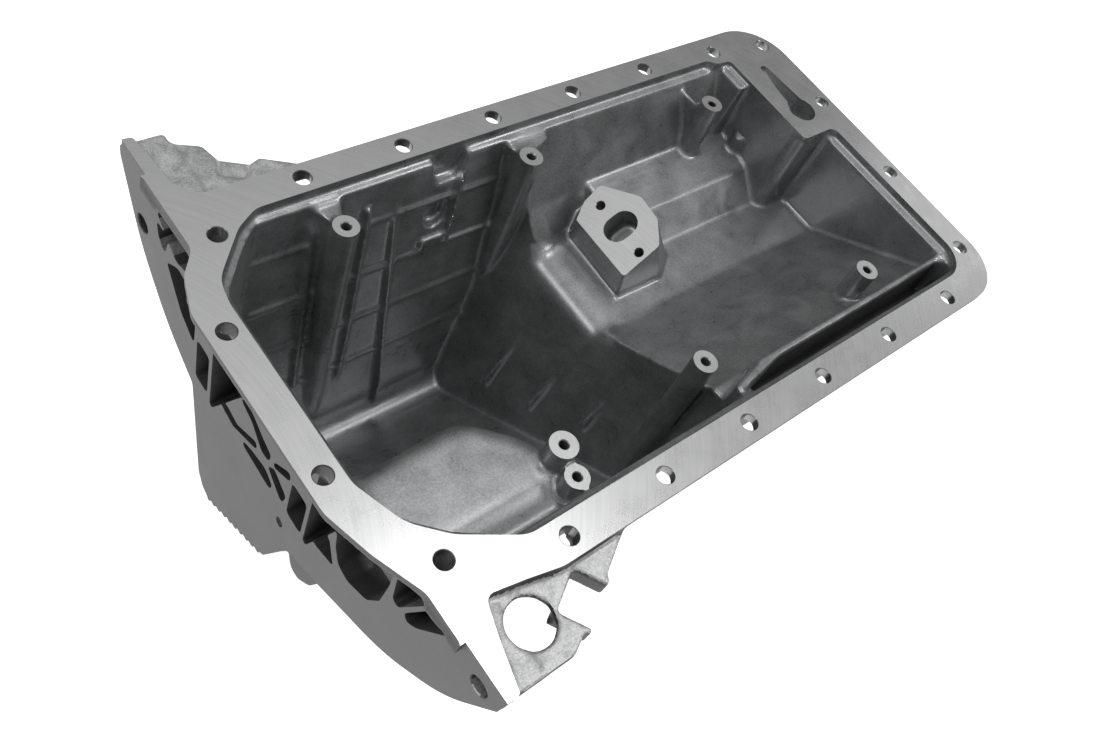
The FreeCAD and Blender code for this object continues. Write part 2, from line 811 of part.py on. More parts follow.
pockets = [
    prism("pocket_middle", "YZ", [
        (39.6, -57.5), (43.4, -62.5), (32.0, -67.6), (21.6, -79.6),
        (14.6, -79.8), (13.0, -71.6), (22.4, -66.6), (31.2, -60.4),
    ], start_out, wide),
    prism("groove_upper", "YZ", [
        (60.4, -92.4), (47.7, -95.6), (25.4, -85.0), (25.8, -78.5), (44.1, -88.6), (55.1, -85.0),
    ], start_out, wide),
    prism("groove_lower", "YZ", [
        (37.6, -95.0), (29.0, -91.6), (16.0, -89.6), (8.2, -95.8), (10.0, -102.2), (37.0, -99.0),
    ], start_out, wide),
    prism("pocket_left", "YZ", [
        (9.5, -72.0), (-4.0, -61.5), (-4.0, -69.6), (11.0, -78.6),
    ], start_out, wide),
    prism("pocket_low", "YZ", [
        (14.6, -84.4), (9.0, -78.2), (-3.8, -87.6), (-1.0, -98.6),
    ], start_out, wide),
    prism("pocket_small", "YZ", [
        (-30.0, -90.4), (-38.7, -65.0), (-47.0, -85.2),
    ], start_out, wide),
    prism("pocket_big", "YZ", [
        (-43.0, -52.0), (-48.0, -50.0), (-78.0, -50.0), (-80.4, -56.0, 4), (-73.0, -71.5, 6),
        (-58.6, -79.6, 5), (-49.8, -77.4), (-44.6, -66.0, 8),
    ], start_out, 31.0),
    prism("pocket_big_top", "YZ", [
        (-43.0, -56.0), (-43.0, -49.0), (-60.0, -33.0), (-73.0, -21.0), (-80.0, -14.0),
        (-81.2, -36.0), (-79.8, -56.0),
    ], start_out, 9.0),
    prism("slot_near", "YZ", [
        (-82.6, -16.0), (-86.0, -7.5), (-101.8, -7.5), (-101.4, -14.0), (-89.6, -43.0, 2), (-85.4, -41.5, 2),
    ], start_out, wide),
    prism("slot_outer", "YZ", [
        (-94.2, -39.0), (-105.0, -11.0), (-116.8, -8.0), (-117.8, -11.6),
        (-103.3, -37.0, 8), (-96.6, -44.4, 2),
    ], start_out, wide),
    prism("slot_far_top", "YZ", [
        (128.6, -16.0), (124.5, -7.6), (93.0, -7.6), (97.0, -26.6), (109.6, -31.0),
    ], start_out, wide),
    prism("slot_far_side", "YZ", [
        (129.3, -20.6), (127.6, -31.0), (121.0, -38.4), (117.4, -23.6),
    ], start_out, wide),
    prism("slot_far_low", "YZ", [
        (119.0, -41.8), (108.0, -34.2), (97.8, -36.0), (98.8, -49.5),
        (89.3, -56.8), (89.8, -76.0), (104.0, -65.0, 6),
    ], start_out, wide),
    prism("edge_dent", "YZ", [
        (-0.4, -113.0), (-5.6, -115.6), (-5.0, -123.4), (0.6, -121.6),
    ], start_out, 6.0),
]

# Holes
rail_spots = [
    ("f0", -175.6, 95.3), ("f6", 182.3, 107.4), ("e0", 225.4, 100.5), ("e1", 228.9, 43.4),
    ("e2", 228.9, -22.8), ("e3", 225.5, -89.0), ("n6", 182.3, -111.5), ("n0", -175.5, -92.0),
    ("r1", -198.1, -34.8), ("r0", -197.9, 45.6),
]
holes = []
for name, x, y in rail_spots:
    holes.append(post(f"rail_hole_{name}", x, y, plate_reach, rail_thick + 3, rail_hole))
for step in range(-2, 3):
    tag = str(step + 2)
    for side, sign in (("far", 1.0), ("near", -1.0)):
        holes.append(post(
            f"rail_hole_{side}_{tag}", rail_pitch * step, rail_line * sign,
            plate_reach, rail_thick + 3, rail_hole))
ring_hole = size("ring_hole", 5.4)
holes.append(drilling("ring_hole_near", -140.6, -15.2, 30.0, ring_hole))
holes.append(drilling("ring_hole_far", 144.0, -40.0, 30.0, ring_hole))
holes.append(post("wing_hole", -157.2, -132.2, -4.0, 10.0, 11.7))
notch = prism("notch", "XY", [
    (-126.0, -123.4),
    (-144.0, -134.5),
    (-133.0, -152.2),
    (-115.0, -141.3),
], -4.0, 20.0)

# Keyhole in the corner pad
keyhole_x = size("keyhole_x", 207.2)
keyhole_y = size("keyhole_y", 43.5)
keyhole = post("keyhole", keyhole_x, keyhole_y, plate_reach, 15.0, 10.0)
key_slot_plan = prism("key_slot_plan", "XY", [
    (201.5, 46.0),
    (214.5, 46.0),
    (211.8, 85.0, 2.5),
    (205.8, 85.0, 2.5),
], plate_reach, 16.0)
key_slot_depth = prism("key_slot_depth", "YZ", [
    (44.0, 2.0),
    (44.0, -12.5),
    (52.0, -11.5),
    (90.0, -3.0),
    (90.0, 2.0),
], 195.0, 30.0)
key_slot = common("key_slot", [key_slot_plan, key_slot_depth])

# Bore and screw holes of the pick-up pad, square to the inclined face
pad_bore = doc.addObject("Part::Extrusion", "pad_bore")
pad_bore.Base = tilted(outline("pad_bore_outline", "XY", [
    (6.3, 27.6, 7.9), (28.1, 27.6, 7.9), (28.1, 43.5, 7.9), (6.3, 43.5, 7.9),
], 0.0 * pad_x))
pad_bore.DirMode = "Normal"
pad_bore.Solid = True
bind(pad_bore, "LengthFwd", size("pad_bore_reach", 4.0))
bind(pad_bore, "LengthRev", size("pad_bore_depth", 21.0))
pad_holes = []
for name, along, across in (("far", 16.2, 54.0), ("near", 15.4, 15.6)):
    hole = doc.addObject("Part::Cylinder", f"pad_hole_{name}")
    turn = FreeCAD.Rotation(V(0, -1, 0), pad_tilt.value)
    hole.Placement = FreeCAD.Placement(V(0, 0, 0), turn)
    slant = math.radians(pad_tilt.value)
    x = pad_x + along * math.cos(slant) + 13.0 * math.sin(slant)
    z = pad_z + along * math.sin(slant) - 13.0 * math.cos(slant)
    bind(hole, "Placement.Base.x", x)
    bind(hole, "Placement.Base.y", size(f"pad_hole_{name}_across", across))
    bind(hole, "Placement.Base.z", z)
    bind(hole, "Radius", size(f"pad_hole_{name}_radius", 2.7))
    bind(hole, "Height", size(f"pad_hole_{name}_height", 17.0))
    pad_holes.append(hole)

drain_radius = size("drain_radius", 7.0)
drain_hole = post("drain_hole", drain_x, drain_y, -170.0, 60.0, drain_radius)

tools = fuse("tools", [
    space, limited, notch, keyhole, key_slot, pad_bore, drain_hole,
] + pockets + holes + boss_holes + pad_holes)
oil_pan = cut("oil_pan", outer, tools)
oil_pan.Label = "oil_pan"

# Drain plug and its sealing ring
washer_thick = size("washer_thick", 1.5)
washer_outer = size("washer_outer", 10.5)
washer_disc = post("washer_disc", drain_x, drain_y, drain_face, washer_thick, washer_outer)
washer_bore = post("washer_bore", drain_x, drain_y, drain_face + 1, washer_thick + 2, drain_radius + 0.1)
plug_washer = cut("plug_washer", washer_disc, washer_bore)
plug_washer.Label = "plug_washer"
seat = drain_face - washer_thick
flange_thick = size("flange_thick", 2.5)
plug_flange = post("plug_flange", drain_x, drain_y, seat, flange_thick, 11.5)
plug_shank = post("plug_shank", drain_x, drain_y, seat + 18, 19.0, drain_radius - 0.05)
plug_head = doc.addObject("Part::Prism", "plug_head")
plug_head.Polygon = 6
bind(plug_head, "Circumradius", size("hex_corner", 10.97))
bind(plug_head, "Height", size("hex_height", 8.0))
bind(plug_head, "Placement.Base.x", drain_x)
bind(plug_head, "Placement.Base.y", drain_y)
bind(plug_head, "Placement.Base.z", seat - flange_thick - 7.5)
drain_plug = fuse("drain_plug", [plug_flange, plug_shank, plug_head])
drain_plug.Label = "drain_plug"

doc.recompute()

for thing in doc.Objects:
    bad = [state for state in thing.State if state in ("Invalid", "Error")]
    if bad:
        raise RuntimeError(f"{thing.Name} is {bad}")
for node in (oil_pan, plug_washer, drain_plug):
    shape = node.Shape
    if shape.isNull() or not shape.isValid() or len(shape.Solids) != 1:
        raise RuntimeError(f"{node.Label} is not one valid solid: {len(shape.Solids)}")
    shape.exportStep(f"parts/{node.Label}.step")
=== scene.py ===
import math

import bpy
import numpy as np
import openvdb
from bpy.props import FloatProperty, FloatVectorProperty, PointerProperty
from mathutils import Matrix, Vector
from mathutils.bvhtree import BVHTree


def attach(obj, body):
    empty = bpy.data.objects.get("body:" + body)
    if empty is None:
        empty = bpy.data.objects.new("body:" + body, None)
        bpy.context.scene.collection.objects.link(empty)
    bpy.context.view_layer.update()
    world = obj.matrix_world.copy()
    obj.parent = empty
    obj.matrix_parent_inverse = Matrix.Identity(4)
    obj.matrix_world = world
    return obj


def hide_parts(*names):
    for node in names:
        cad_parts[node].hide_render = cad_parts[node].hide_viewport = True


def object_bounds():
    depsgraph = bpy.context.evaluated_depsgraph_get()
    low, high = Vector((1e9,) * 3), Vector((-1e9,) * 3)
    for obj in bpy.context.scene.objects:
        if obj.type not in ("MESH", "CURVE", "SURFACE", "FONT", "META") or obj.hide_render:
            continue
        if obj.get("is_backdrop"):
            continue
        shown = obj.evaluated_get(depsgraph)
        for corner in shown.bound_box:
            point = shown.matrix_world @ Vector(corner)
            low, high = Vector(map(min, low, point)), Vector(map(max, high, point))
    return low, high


bl_info = {
    "name": "Oil pan dresser",
    "version": (1, 0, 0),
    "blender": (4, 5, 0),
    "location": "View3D > Sidebar > Oil pan",
    "description": "Cast skin, machined faces and studio for an engine oil pan",
    "category": "Object",
}

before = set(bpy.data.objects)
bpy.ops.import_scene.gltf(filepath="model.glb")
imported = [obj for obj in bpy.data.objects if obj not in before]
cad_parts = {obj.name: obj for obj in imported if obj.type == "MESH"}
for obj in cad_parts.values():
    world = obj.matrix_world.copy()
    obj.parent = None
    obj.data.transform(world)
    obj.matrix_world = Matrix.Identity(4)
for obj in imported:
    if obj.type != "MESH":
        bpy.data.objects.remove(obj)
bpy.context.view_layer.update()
MM = 0.001
UP = (0, 0, 1)
REARWARD = (-1, 0, 0)

# Sizes of the casting in millimetres, as the solids have them: the gasket face lies at height 0
RING_FACE = -188.0
RING_TOP = -6.5
RAIL_BOTTOM = -9
FAR_WING = 140.0
NEAR_WING = -125.0
WALL_SIDE = 112
FRONT_WALL = 236

# How near to a plane a corner of the solids and a face of the skin count as lying on it
ON_FACE = 0.02
NEAR_FACE = 0.03

# Bosses by place, height of the top and radius: five beside the rail and two lower ones
RAIL_BOSSES = [
    (-115.0, 79.3, -5.0, 7.1),
    (7.4, 81.8, -5.0, 7.1),
    (152.0, 74.0, -5.0, 7.1),
    (152.0, -71.0, -5.0, 7.1),
    (8.2, -71.5, -5.0, 7.1),
]
SUMP_BOSSES = [
    (-79.0, -67.5, -25.0, 8.0),
    (-81.0, -83.5, -30.0, 7.0),
]
BOSSES = RAIL_BOSSES + SUMP_BOSSES

# Sloping pick-up pad: a point on the line of its low edge, its middle from there, and the
# outlines in plan of its corners and of its milled face
PAD_TILT = math.radians(34.2)
PAD_CORNER = Vector((39.0, 0.0, -46.0))
PAD_NORMAL = Vector((-math.sin(PAD_TILT), 0, math.cos(PAD_TILT)))
PAD_SLOPE = Vector((math.cos(PAD_TILT), 0, math.sin(PAD_TILT)))
PAD_MIDDLE = (19, 37)
PAD_REACH = 40
PAD_PLAN = ((38.5, 73), (5, 67))
PAD_FACE = ((38, 72), (5, 65))
PAD_FACE_FIT = 0.35

# Screw holes by place, and each kind by radius, depth, chamfer and length of a drilled point
ROW_PITCH = 60.6
ROW_SIDE = 111.25
RAIL_HOLES = [
    (-175.6, 95.3), (182.3, 107.4), (225.4, 100.5), (228.9, 43.4), (228.9, -22.8),
    (225.5, -89.0), (182.3, -111.5), (-175.5, -92.0), (-198.1, -34.8), (-197.9, 45.6),
] + [(ROW_PITCH * step, side * ROW_SIDE) for step in range(-2, 3) for side in (1, -1)]
HOUSING_HOLES = [(-140.6, -15.2), (144.0, -40.0)]
PAD_HOLES = [(16.2, 54.0), (15.4, 15.6)]
RAIL_DRILL = (4.6, 9, 0.4, 0)
BOSS_DRILL = (2.55, 16.5, 0.5, 1.5)
HOUSING_DRILL = (5.4, 30, 0.5, 0)
PAD_DRILL = (2.7, 13, 0.4, 0)
DRILL_TIP = 0.05

# Stock that machined faces carry until they are cut back to sharp edges, and the cutters' sizes
FACE_STOCK = 3.0
BOSS_STOCK = 1.5
CUT_LENGTH = 260
CUT_WIDTH = 200
CUT_HEIGHT = 9
WING_BAND = (-20, 4)
BOSS_CUT = 3
PAD_CUT = 4

# Where cast edges are crisper: a band behind the bell housing face that deepens from its top
# down, the backs and sides of the wings, the fins under a sloping line and the rail's edge
CRISP_RADII = (0.7, 0.4)
CRISP_FADE = 2.0
BAND_DEPTH = 2.5
BAND_GROWTH = 18.5
BAND_TOP = -20
BAND_HEIGHT = 50
WING_BACK = -166.0
WING_SPAN = (-80, 88)
WING_SIDE = 121.5
FIN_LOW = -215.3
FIN_SIDE = 75
FIN_RISE = 0.5497
FIN_ROOT = 1.0
RAIL_EDGE = 2.5

# Boxes with gently flowing walls: the hump, and the crest between trough and deep sump
HUMP_BOX = ((-178, -108, -215), (-44, 26, -30))
HUMP_BLUR = 2.6
CREST_BOX = ((-14, -60, -96), (42, 76, -56))
CREST_BLUR = 3.2
BLUR_LIMIT = 1.5
BOX_FADE = 8
BOSS_FADE = 3

# Grid steps kept free round the casting, steps over which distances are kept, and triangles
# of the skin before it is machined
GRID_MARGIN = 8
GRID_REACH = 5
SKIN_TRIANGLES = 165000

# Places over the open side, in metres, from which the inside of the casting is seen, and how
# far off a face the look back to them starts
LOOKOUTS = [Vector((x, y, 0.12)) for x in (0.06, -0.14, -0.04, 0.2) for y in (-0.07, 0.07)]
LOOK_START = 0.4 * MM

# Heights of the wings' shot-blasted tops, where these end, and how flat a machined face is
BLASTED_HEIGHTS = (-40, -1)
BLASTED_END = -60
LEVEL = 0.99
SHARP_ANGLE = math.radians(32)

# Camera as fitted to the photograph: its width and the focal length in pixels, place and axes
PHOTO_WIDTH = 1110.0
FOCAL_PIXELS = 1034.534
SENSOR = 36.0
CAMERA_PLACE = (-0.34332, -0.181897, 0.391781)
CAMERA_AXES = (
    (0.747859, -0.591651, 0.301090),
    (0.380618, 0.753741, 0.535728),
    (-0.543908, -0.286049, 0.788885),
)

# Studio in metres: half the floor's width, distance of the lights, and the room by height
FLOOR_HALF = 40.0
LIGHT_DISTANCE = 1.5
ROOM_LEVELS = ((0.0, 0.12), (0.5, 0.26), (0.62, 0.36), (0.84, 0.78), (1.0, 0.9))


def linear(code):
    """sRGB hex to the linear colour that shaders take."""
    channels = [int(code[i:i + 2], 16) / 255 for i in (1, 3, 5)]
    return tuple(c / 12.92 if c <= 0.04045 else ((c + 0.055) / 1.055) ** 2.4 for c in channels)


def mesh_arrays(thing):
    """Corner positions in millimetres and triangles of a mesh object."""
    mesh = thing.data
    points = np.zeros(len(mesh.vertices) * 3, np.float32)
    mesh.vertices.foreach_get("co", points)
    mesh.calc_loop_triangles()
    triangles = np.zeros(len(mesh.loop_triangles) * 3, np.int32)
    mesh.loop_triangles.foreach_get("vertices", triangles)
    return points.reshape(-1, 3) * 1000, triangles.reshape(-1, 3).astype(np.uint32)


def level_set(points, triangles, quads, voxel, reach):
    """Distance grid of a closed mesh, in millimetres."""
    return openvdb.FloatGrid.createLevelSetFromPolygons(
        points,
        triangles=triangles if len(triangles) else None,
        quads=quads if len(quads) else None,
        transform=openvdb.createLinearTransform(voxelSize=voxel),
        exBandWidth=reach,
        inBandWidth=reach,
    )


def rounded_field(points, triangles, radii, voxel, low, shape):
    """Distances to the mesh once its hollows have the inner and its edges the outer radius."""
    inner, outer = radii
    reach = (inner + outer) / voxel + 3
    quads = np.zeros((0, 4), np.uint32)
    # Grown by the inner radius, shrunk past the first surface by the outer one and grown back
    for step in (inner, -inner - outer, outer):
        grid = level_set(points, triangles, quads, voxel, reach)
        points, triangles, quads = grid.convertToPolygons(isovalue=step, adaptivity=0.0)
        triangles = triangles[:, ::-1]
        quads = quads[:, ::-1]
    field = np.zeros(shape, np.float32)
    level_set(points, triangles, quads, voxel, GRID_REACH).copyToArray(field, ijk=low)
    return field


def grid_axes(starts, counts, voxel, kind):
    """Places of grid points in millimetres, one array for each axis, counted as kind."""
    axes = [
        (start + np.arange(count, dtype=kind)) * voxel for start, count in zip(starts, counts)]
    return np.meshgrid(*axes, indexing="ij", sparse=True)


def smoothed(field, radius):
    """Gaussian blur of a grid of distances, radius in grid steps."""
    reach = int(3 * radius + 0.5)
    weights = np.exp(-0.5 * (np.arange(-reach, reach + 1) / radius) ** 2)
    weights /= weights.sum()
    for axis in range(3):
        border = [(reach, reach) if k == axis else (0, 0) for k in range(3)]
        padded = np.pad(field, border, mode="edge")
        total = np.zeros_like(field)
        for k, weight in enumerate(weights):
            part = [slice(None)] * 3
            part[axis] = slice(k, k + field.shape[axis])
            total += np.float32(weight) * padded[tuple(part)]
        field = total
    return field


def ramp(value, width):
    """0 below, 1 above, with a soft change of the given width round zero."""
    return np.clip(value / width + 0.5, 0, 1).astype(np.float32)


def pad_height(x, z):
    """Height of points over the plane of the pick-up pad."""
    return (x - PAD_CORNER.x) * PAD_NORMAL.x + (z - PAD_CORNER.z) * PAD_NORMAL.z


def in_plan(x, y, plan):
    """Tell which points lie inside an upright box."""
    (rear, front), (near, far) = plan
    return (x > rear) & (x < front) & (y > near) & (y < far)


def pad_point(along, across):
    """Point on the pick-up pad, measured up its slope and across it."""
    return PAD_CORNER + PAD_SLOPE * along + Vector((0, across, 0))


def new_object(name, points, faces):
    mesh = bpy.data.meshes.new(name)
    mesh.from_pydata(points, [], faces)
    mesh.update()
    thing = bpy.data.objects.new(name, mesh)
    bpy.context.scene.collection.objects.link(thing)
    return thing


def apply_modifier(thing, kind, **settings):
    """Add a modifier, keep its result as the mesh and drop it."""
    modifier = thing.modifiers.new("step", kind)
    for key, value in settings.items():
        setattr(modifier, key, value)
    graph = bpy.context.evaluated_depsgraph_get()
    result = bpy.data.meshes.new_from_object(thing.evaluated_get(graph))
    thing.modifiers.clear()
    old = thing.data
    thing.data = result
    bpy.data.meshes.remove(old)


class Cutter:
    """Closed solids, in millimetres, that are cut from the casting together."""

    def __init__(self):
        self.points = []
        self.faces = []

    def lathe(self, base, axis, profile, sides=48):
        """Solid of revolution through (distance along axis, radius) pairs."""
        axis = Vector(axis).normalized()
        side = axis.orthogonal().normalized()
        other = axis.cross(side)
        first = len(self.points)
        for along, radius in profile:
            for k in range(sides):
                turn = 2 * math.pi * k / sides
                spoke = side * math.cos(turn) + other * math.sin(turn)
                self.points.append(tuple(Vector(base) + axis * along + spoke * radius))
        for ring in range(len(profile) - 1):
            a = first + ring * sides
            for k in range(sides):
                n = (k + 1) % sides
                self.faces.append((a + k, a + n, a + sides + n, a + sides + k))
        self.faces.append(tuple(first + k for k in reversed(range(sides))))
        last = first + (len(profile) - 1) * sides
        self.faces.append(tuple(last + k for k in range(sides)))

    def disc(self, base, axis, radius, height):
        self.lathe(base, axis, [(0, radius), (height, radius)])

    def hole(self, base, axis, radius, depth, chamfer, point):
        """Drilled hole with a chamfered mouth and, where it ends in metal, a pointed bottom."""
        profile = [(-depth, radius), (-chamfer, radius), (1, radius + chamfer + 1)]
        if point:
            profile.insert(0, (-depth - point, DRILL_TIP))
        self.lathe(base, axis, profile)

    def box(self, low, high):
        first = len(self.points)
        (west, south, floor), (east, north, roof) = low, high
        for z in (floor, roof):
            for x, y in ((west, south), (east, south), (east, north), (west, north)):
                self.points.append((x, y, z))
        sides = [(k, (k + 1) % 4, (k + 1) % 4 + 4, k + 4) for k in range(4)]
        for face in [(0, 3, 2, 1), (4, 5, 6, 7)] + sides:
            self.faces.append(tuple(first + k for k in face))

    def cut(self, thing):
        """Take the solids away from a mesh object."""
        points = [tuple(c * MM for c in point) for point in self.points]
        tool = new_object("cutter", points, self.faces)
        apply_modifier(thing, "BOOLEAN", operation="DIFFERENCE", object=tool, solver="MANIFOLD")
        bpy.data.objects.remove(tool)


def add_node(tree, kind, inputs=None, links=None, **settings):
    """Add a node, set its sockets and join it to the outputs given by socket name."""
    node = tree.nodes.new(kind)
    for key, value in settings.items():
        setattr(node, key, value)
    for key, value in (inputs or {}).items():
        node.inputs[key].default_value = value
    for key, output in (links or {}).items():
        tree.links.new(output, node.inputs[key])
    return node


def new_material(name):
    material = bpy.data.materials.new(name)
    material.use_nodes = True
    material.node_tree.nodes.clear()
    return material, material.node_tree


def skin(name, dark, light, cloud, gloss, grain, depth, matt):
    """Bare metal with a cloudy tone and gloss and a fine grain, sizes in millimetres.

    Its oxide spreads the share matt of the light widely; the rest has the gloss given.
    """
    material, tree = new_material(name)
    place = add_node(tree, "ShaderNodeTexCoord").outputs["Object"]
    clouds = add_node(
        tree, "ShaderNodeTexNoise",
        inputs={"Scale": 1 / (cloud * MM), "Detail": 5.0, "Roughness": 0.6, "Distortion": 0.4},
        links={"Vector": place}).outputs["Fac"]
    grains = add_node(
        tree, "ShaderNodeTexNoise",
        inputs={"Scale": 1 / (grain * MM), "Detail": 2.0, "Roughness": 0.6},
        links={"Vector": place}).outputs["Fac"]
    blend = add_node(
        tree, "ShaderNodeMath", operation="ADD",
        links={0: clouds, 1: grains}).outputs["Value"]
    share = add_node(
        tree, "ShaderNodeMapRange", inputs={"From Min": 0.75, "From Max": 1.25},
        links={"Value": blend}).outputs["Result"]
    tone = add_node(
        tree, "ShaderNodeMixRGB",
        inputs={"Color1": (*linear(dark), 1), "Color2": (*linear(light), 1)},
        links={"Fac": share})
    rough = add_node(
        tree, "ShaderNodeMapRange",
        inputs={"From Min": 0.3, "From Max": 0.7, "To Min": gloss[0], "To Max": gloss[1]},
        links={"Value": clouds})
    bump = add_node(
        tree, "ShaderNodeBump", inputs={"Strength": 1.0, "Distance": depth * MM},
        links={"Height": grains})
    shader = add_node(
        tree, "ShaderNodeBsdfPrincipled", inputs={"Metallic": 1.0},
        links={"Base Color": tone.outputs["Color"], "Roughness": rough.outputs["Result"],
               "Normal": bump.outputs["Normal"]})
    oxide = add_node(
        tree, "ShaderNodeBsdfPrincipled", inputs={"Metallic": 1.0, "Roughness": 0.85},
        links={"Base Color": tone.outputs["Color"], "Normal": bump.outputs["Normal"]})
    both = add_node(
        tree, "ShaderNodeMixShader", inputs={"Fac": matt},
        links={1: shader.outputs["BSDF"], 2: oxide.outputs["BSDF"]})
    add_node(tree, "ShaderNodeOutputMaterial", links={"Surface": both.outputs["Shader"]})
    return material


def cast_aluminium():
    # As the alloy leaves the core side of the die: satin grey with bright lines on round edges
    return skin(
        "aluminium_die_cast_satin", "#8E8F90", "#AEAFB0",
        cloud=18, gloss=(0.25, 0.4), grain=1.1, depth=0.025, matt=0.36)


def outer_aluminium():
    # Outside of the casting, oxidised and handled: a darker, duller grey
    return skin(
        "aluminium_die_cast_dull", "#5C5C5C", "#6C6C6C",
        cloud=22, gloss=(0.42, 0.55), grain=1.0, depth=0.04, matt=0.5)


def blasted_aluminium():
    # The same alloy cleaned with shot: a pale, rough, speckled skin on the tops of both wings
    return skin(
        "aluminium_shot_blasted_skin", "#A8A9AA", "#DEDEDE",
        cloud=9, gloss=(0.42, 0.55), grain=0.8, depth=0.04, matt=0.3)


def machined_aluminium_painted_shade():
    # Bell housing face, turned: the machined metal with painted shade, duller and darker than the
    # gasket face
    return skin(
        "aluminium_machined_face_painted_shade", "#606060", "#6A6A6A",
        cloud=30, gloss=(0.42, 0.52), grain=0.9, depth=0.01, matt=0.3)


def milled_aluminium():
    # Gasket face as a large cutter leaves it: bright satin with faint sweeping arcs
    cutter_radius = 170
    feed = 1.3
    cloud = 16
    depth = 0.018
    material, tree = new_material("aluminium_milled_face")
    place = add_node(tree, "ShaderNodeTexCoord").outputs["Object"]
    split = add_node(tree, "ShaderNodeSeparateXYZ", links={"Vector": place})
    # How far the cutter has travelled along the engine when its edge passes a point
    square = add_node(
        tree, "ShaderNodeMath", operation="MULTIPLY",
        links={0: split.outputs["Y"], 1: split.outputs["Y"]})
    rest = add_node(
        tree, "ShaderNodeMath", operation="SUBTRACT", inputs={0: (cutter_radius * MM) ** 2},
        links={1: square.outputs["Value"]})
    reach = add_node(
        tree, "ShaderNodeMath", operation="SQRT", links={0: rest.outputs["Value"]})
    travel = add_node(
        tree, "ShaderNodeMath", operation="SUBTRACT",
        links={0: split.outputs["X"], 1: reach.outputs["Value"]})
    slow = add_node(
        tree, "ShaderNodeMath", operation="MULTIPLY", inputs={1: 0.03},
        links={0: split.outputs["Y"]})
    track = add_node(
        tree, "ShaderNodeCombineXYZ",
        links={"X": travel.outputs["Value"], "Y": slow.outputs["Value"]})
    # Feed marks, a little over a millimetre apart and uneven
    marks = add_node(
        tree, "ShaderNodeTexNoise",
        inputs={"Scale": 1 / (feed * MM), "Detail": 2.0, "Roughness": 0.55},
        links={"Vector": track.outputs["Vector"]}).outputs["Fac"]
    clouds = add_node(
        tree, "ShaderNodeTexNoise",
        inputs={"Scale": 1 / (cloud * MM), "Detail": 4.0, "Roughness": 0.6},
        links={"Vector": place}).outputs["Fac"]
    tone = add_node(
        tree, "ShaderNodeMixRGB",
        inputs={"Color1": (*linear("#B9BABA"), 1), "Color2": (*linear("#D0D0D0"), 1)},
        links={"Fac": marks})
    rough = add_node(
        tree, "ShaderNodeMapRange",
        inputs={"From Min": 0.3, "From Max": 0.7, "To Min": 0.24, "To Max": 0.34},
        links={"Value": clouds})
    bump = add_node(
        tree, "ShaderNodeBump", inputs={"Strength": 1.0, "Distance": depth * MM},
        links={"Height": marks})
    shader = add_node(
        tree, "ShaderNodeBsdfPrincipled", inputs={"Metallic": 1.0},
        links={"Base Color": tone.outputs["Color"], "Roughness": rough.outputs["Result"],
               "Normal": bump.outputs["Normal"]})
    add_node(tree, "ShaderNodeOutputMaterial", links={"Surface": shader.outputs["BSDF"]})
    return material


def plain_metal(name, colour, roughness):
    """Clean metal with one tone and one gloss."""
    material, tree = new_material(name)
    shader = add_node(
        tree, "ShaderNodeBsdfPrincipled",
        inputs={"Metallic": 1.0, "Base Color": (*linear(colour), 1), "Roughness": roughness})
    add_node(tree, "ShaderNodeOutputMaterial", links={"Surface": shader.outputs["BSDF"]})
    return material


def zinc_steel():
    # Steel with a bright zinc coat, as drain plugs have: an even, pale grey
    return plain_metal("steel_zinc_plated", "#B4B6B2", 0.35)


def soft_aluminium():
    # Plain soft aluminium of a crush ring: brighter and smoother than the casting
    return plain_metal("aluminium_crush_ring", "#C9CACA", 0.3)


class CastingSettings(bpy.types.PropertyGroup):
    voxel: FloatProperty(
        name="Detail", description="Grid step of the cast skin", default=0.9 * MM, unit="LENGTH")
    inner_round: FloatProperty(
        name="Inner radius", description="Radius that the casting has where walls meet",
        default=1.6 * MM, unit="LENGTH")
    outer_round: FloatProperty(
        name="Edge radius", description="Radius on the outside of cast edges",
        default=0.5 * MM, unit="LENGTH")


class StageSettings(bpy.types.PropertyGroup):
    floor_colour: FloatVectorProperty(
        name="Floor", description="Colour of the floor", default=linear("#E8E8E8"),
        subtype="COLOR")
    floor_glow: FloatProperty(
        name="Floor glow", description="Light that the backlit floor gives", default=0.85)
    over_power: FloatProperty(
        name="Over light", description="Power of the softbox overhead",
        default=3.0, unit="POWER")
    front_power: FloatProperty(
        name="Front light", description="Power of the softbox over the engine's front",
        default=0.35, unit="POWER")
    side_power: FloatProperty(
        name="Side light", description="Power of the softbox on the near side",
        default=4.5, unit="POWER")
    rear_power: FloatProperty(
        name="Rear light", description="Power of the softbox behind the gearbox side",
        default=3.0, unit="POWER")
    sky: FloatProperty(name="Room", description="Brightness of the room", default=1.0)


